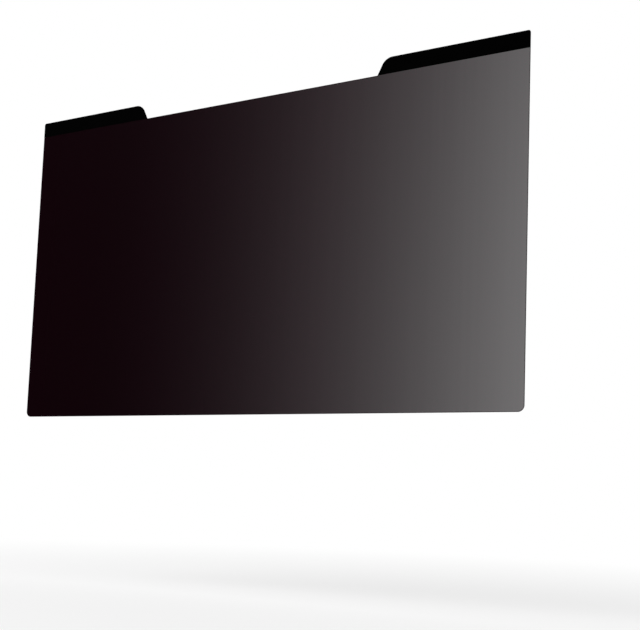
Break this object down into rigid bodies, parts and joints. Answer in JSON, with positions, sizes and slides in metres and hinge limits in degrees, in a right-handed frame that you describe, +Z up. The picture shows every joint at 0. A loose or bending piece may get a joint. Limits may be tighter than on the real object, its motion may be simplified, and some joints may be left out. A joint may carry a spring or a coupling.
{
  "type": "monitor privacy filter",
  "caption": "Thin see-through privacy filter panel for a widescreen monitor, with opaque fold-over tabs rising from its top corners and adhesive pads behind them.",
  "frame": {"origin": "middle of the panel's bottom edge, halfway through the whole thickness", "axes": "+X along the panel's width to the viewer's right, +Y from the viewer towards the screen, +Z up"},
  "size_m": [0.531, 0.0014, 0.314],
  "materials": {
    "louvre_film": "smoky see-through film with an anti-glare front, darker the more it is seen from the side",
    "tab_film": "opaque black film, satin",
    "pad_foam": "black double-sided foam adhesive"
  },
  "bodies": {
    "root": {"filter_sheet": "louvre_film", "left_tab_cover": "tab_film", "right_tab_cover": "tab_film", "left_adhesive_pad": "pad_foam", "right_adhesive_pad": "pad_foam"}
  },
  "joints": []
}
